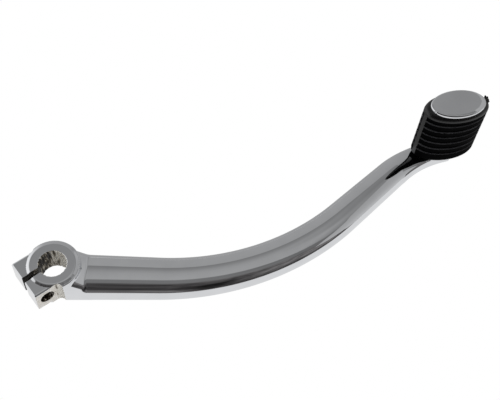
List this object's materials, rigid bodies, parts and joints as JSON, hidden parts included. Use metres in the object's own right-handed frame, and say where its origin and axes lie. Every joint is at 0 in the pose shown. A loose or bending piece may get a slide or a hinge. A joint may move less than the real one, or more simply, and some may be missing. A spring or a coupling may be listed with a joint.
{
  "type": "kick start lever",
  "caption": "Chromed S-curved kick start lever with a splined split clamp hub at one end and an upright oval pedal in a ribbed black rubber sleeve at the other.",
  "frame": {"origin": "on the axis of the hub's splined bore, at the hub's lower face, which goes towards the engine", "axes": "+Z along the bore axis, away from the engine and up the pedal; +X from the hub towards the pedal end, along the longest extent"},
  "size_m": [0.2663, 0.1451, 0.0559],
  "materials": {
    "chrome": "polished chrome plate, with bare machined metal on the ears' flats, in the slit and in the bore",
    "rubber": "black moulded rubber, slightly satin"
  },
  "bodies": {
    "root": {"kick_lever": "chrome", "pedal_rubber": "rubber"}
  },
  "joints": []
}
